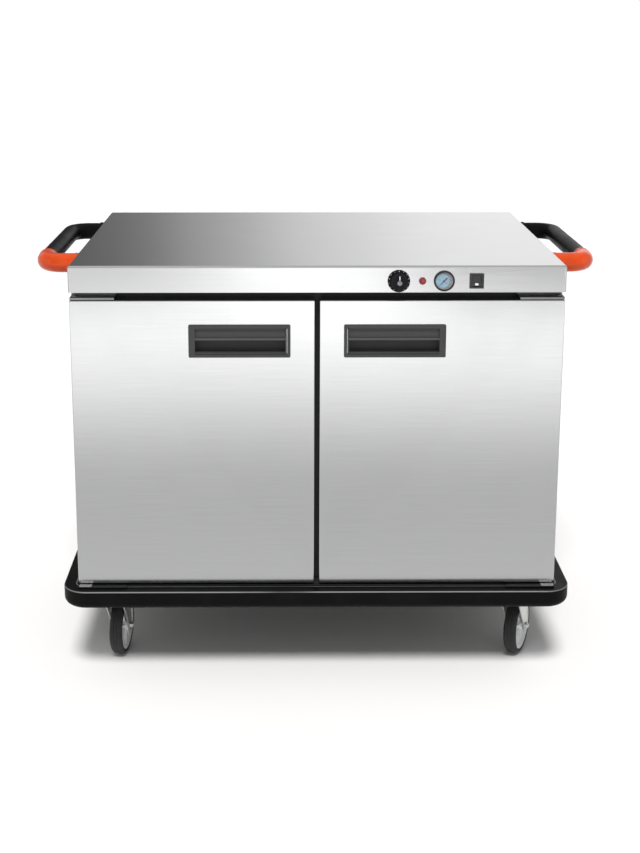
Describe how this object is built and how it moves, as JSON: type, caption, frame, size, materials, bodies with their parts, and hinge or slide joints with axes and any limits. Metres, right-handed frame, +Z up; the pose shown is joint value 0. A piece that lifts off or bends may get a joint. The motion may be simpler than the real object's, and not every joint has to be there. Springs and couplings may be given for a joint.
{
  "type": "food holding cabinet",
  "caption": "Mobile heated food holding cabinet: stainless body with overlay doors, flat worktop, fascia controls, perimeter bumper, side push handles and swivel casters.",
  "frame": {"origin": "on the floor, below the centre of the overall box", "axes": "+X to the right of a person facing the doors, +Y to the back, +Z up"},
  "size_m": [1.186, 0.762, 0.89],
  "materials": {
    "stainless": "satin",
    "liner_steel": "satin",
    "chassis_paint": "satin",
    "bumper_rubber": "satin",
    "insulation": "matte",
    "zinc": "satin",
    "heater": "satin",
    "black_plastic": "satin",
    "orange_plastic": "satin",
    "lamp_red": "gloss",
    "dial_white": "gloss",
    "lens": "gloss",
    "gasket_rubber": "matte",
    "tyre_rubber": "matte",
    "hub_grey": "satin",
    "pedal_black": "satin"
  },
  "bodies": {
    "cabinet": {"back_panel": "stainless", "bumper_ring": "bumper_rubber", "caster_plate_front_left": "zinc", "caster_plate_front_right": "zinc", "caster_plate_rear_left": "zinc", "caster_plate_rear_right": "zinc", "centre_partition": "liner_steel", "chassis_frame": "chassis_paint", "face_frame": "chassis_paint", "heater_cover": "liner_steel", "heating_element": "heater", "inner_liner": "liner_steel", "insulation_jacket": "insulation", "left_handle_bar": "black_plastic", "left_handle_elbow": "orange_plastic", "left_hinge_bottom": "zinc", "left_hinge_top": "zinc", "left_shelf_lower": "zinc", "left_shelf_upper": "zinc", "left_side_panel": "stainless", "pilot_lamp": "lamp_red", "power_inlet": "black_plastic", "right_handle_bar": "black_plastic", "right_handle_elbow": "orange_plastic", "right_hinge_bottom": "zinc", "right_hinge_top": "zinc", "right_shelf_lower": "zinc", "right_shelf_upper": "zinc", "right_side_panel": "stainless", "roof_panel": "stainless", "switch_body": "black_plastic", "thermometer_case": "dial_white", "thermometer_lens": "lens", "thermostat_body": "black_plastic", "worktop": "stainless"},
    "left_door": {"left_door_skin": "stainless", "left_door_inner": "liner_steel", "left_door_gasket": "gasket_rubber", "left_door_pull": "black_plastic"},
    "right_door": {"right_door_skin": "stainless", "right_door_inner": "liner_steel", "right_door_gasket": "gasket_rubber", "right_door_pull": "black_plastic"},
    "thermostat_knob": {"thermostat_knob": "black_plastic"},
    "thermometer_pointer": {"thermometer_needle": "black_plastic"},
    "switch_rocker": {"switch_rocker": "black_plastic"},
    "caster_front_left_swivel": {"caster_fork_front_left": "zinc"},
    "caster_front_left_wheel": {"caster_hub_front_left": "hub_grey", "caster_tyre_front_left": "tyre_rubber"},
    "caster_front_right_swivel": {"caster_fork_front_right": "zinc"},
    "caster_front_right_wheel": {"caster_hub_front_right": "hub_grey", "caster_tyre_front_right": "tyre_rubber"},
    "caster_rear_left_swivel": {"caster_fork_rear_left": "zinc"},
    "caster_rear_left_wheel": {"caster_hub_rear_left": "hub_grey", "caster_tyre_rear_left": "tyre_rubber"},
    "brake_rear_left": {"brake_pedal_rear_left": "pedal_black"},
    "caster_rear_right_swivel": {"caster_fork_rear_right": "zinc"},
    "caster_rear_right_wheel": {"caster_hub_rear_right": "hub_grey", "caster_tyre_rear_right": "tyre_rubber"},
    "brake_rear_right": {"brake_pedal_rear_right": "pedal_black"}
  },
  "joints": [
    {"name": "left_door_hinge", "type": "hinge", "parent": "cabinet", "child": "left_door", "pos_m": [-0.488, -0.334, 0.5156], "axis": [0, 0, -1], "range_deg": [0, 180]},
    {"name": "right_door_hinge", "type": "hinge", "parent": "cabinet", "child": "right_door", "pos_m": [0.488, -0.334, 0.5156], "axis": [0, 0, 1], "range_deg": [0, 180]},
    {"name": "thermostat_turn", "type": "hinge", "parent": "cabinet", "child": "thermostat_knob", "pos_m": [0.163, -0.35, 0.859], "axis": [0, 1, 0], "range_deg": [0, 300]},
    {"name": "thermometer_pointer_turn", "type": "hinge", "parent": "cabinet", "child": "thermometer_pointer", "pos_m": [0.254, -0.35, 0.859], "axis": [0, 1, 0], "range_deg": [0, 250]},
    {"name": "switch_rock", "type": "hinge", "parent": "cabinet", "child": "switch_rocker", "pos_m": [0.319, -0.3475, 0.859], "axis": [1, 0, 0], "range_deg": [0, 14]},
    {"name": "caster_front_left_swivel", "type": "hinge", "parent": "cabinet", "child": "caster_front_left_swivel", "pos_m": [-0.43, -0.265, 0.1448], "axis": [0, 0, 1], "continuous": true},
    {"name": "caster_front_left_roll", "type": "hinge", "parent": "caster_front_left_swivel", "child": "caster_front_left_wheel", "pos_m": [-0.42573, -0.23026, 0.0625], "axis": [0.9925, -0.1219, 0], "continuous": true},
    {"name": "caster_front_right_swivel", "type": "hinge", "parent": "cabinet", "child": "caster_front_right_swivel", "pos_m": [0.43, -0.265, 0.1448], "axis": [0, 0, 1], "continuous": true},
    {"name": "caster_front_right_roll", "type": "hinge", "parent": "caster_front_right_swivel", "child": "caster_front_right_wheel", "pos_m": [0.44479, -0.23328, 0.0625], "axis": [0.9063, -0.4226, 0], "continuous": true},
    {"name": "caster_rear_left_swivel", "type": "hinge", "parent": "cabinet", "child": "caster_rear_left_swivel", "pos_m": [-0.43, 0.265, 0.1448], "axis": [0, 0, 1], "continuous": true},
    {"name": "caster_rear_left_roll", "type": "hinge", "parent": "caster_rear_left_swivel", "child": "caster_rear_left_wheel", "pos_m": [-0.43728, 0.29924, 0.0625], "axis": [0.9781, 0.2079, 0], "continuous": true},
    {"name": "brake_rear_left_press", "type": "hinge", "parent": "caster_rear_left_swivel", "child": "brake_rear_left", "pos_m": [-0.44289, 0.32565, 0.128], "axis": [-0.9781, -0.2079, 0], "range_deg": [0, 12]},
    {"name": "caster_rear_right_swivel", "type": "hinge", "parent": "cabinet", "child": "caster_rear_right_swivel", "pos_m": [0.43, 0.265, 0.1448], "axis": [0, 0, 1], "continuous": true},
    {"name": "caster_rear_right_roll", "type": "hinge", "parent": "caster_rear_right_swivel", "child": "caster_rear_right_wheel", "pos_m": [0.43548, 0.29957, 0.0625], "axis": [0.9877, -0.1564, 0], "continuous": true},
    {"name": "brake_rear_right_press", "type": "hinge", "parent": "caster_rear_right_swivel", "child": "brake_rear_right", "pos_m": [0.4397, 0.32624, 0.128], "axis": [-0.9877, 0.1564, 0], "range_deg": [0, 12]}
  ]
}
